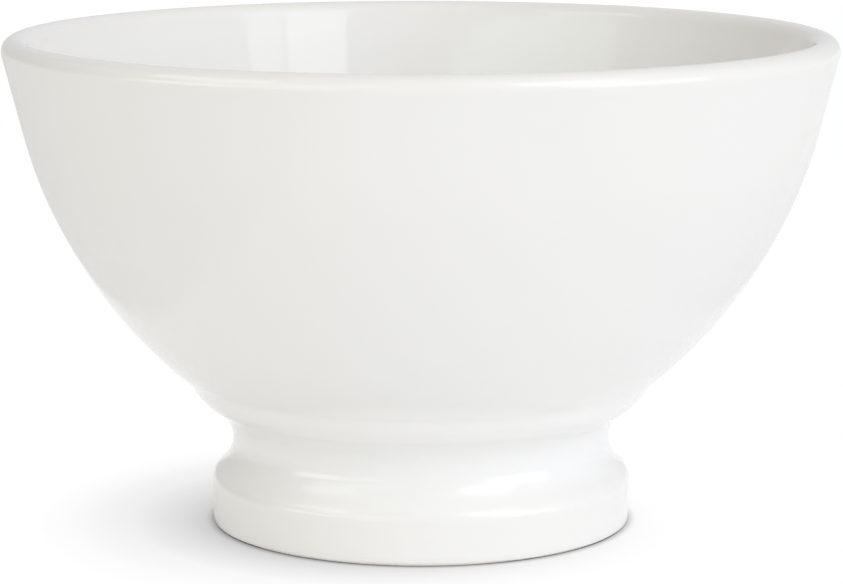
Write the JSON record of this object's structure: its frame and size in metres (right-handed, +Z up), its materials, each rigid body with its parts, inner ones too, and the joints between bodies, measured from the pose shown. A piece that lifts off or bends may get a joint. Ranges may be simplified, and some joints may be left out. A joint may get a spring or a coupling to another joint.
{
  "type": "footed bowl",
  "caption": "White glazed ceramic bowl with a round lip and flared wall, drawn in under a soft collar to a hollow pedestal foot. Holds drinks or food.",
  "frame": {"origin": "middle of the standing ring, on the plane of the table", "axes": "+Z up, along the axis that the bowl is turned about; +X and +Y are any two square directions"},
  "size_m": [0.14, 0.14, 0.083],
  "materials": {
    "biscuit_clay": "matte, fine grained fired clay, warm off-white",
    "fired_slip": "matte fired slip, off-white",
    "white_glaze": "smooth glossy white glaze"
  },
  "bodies": {
    "root": {"bowl": "biscuit_clay", "foot": "biscuit_clay", "luting_slip": "fired_slip", "glaze_coat": "white_glaze", "foot_well_glaze": "white_glaze"}
  },
  "joints": []
}
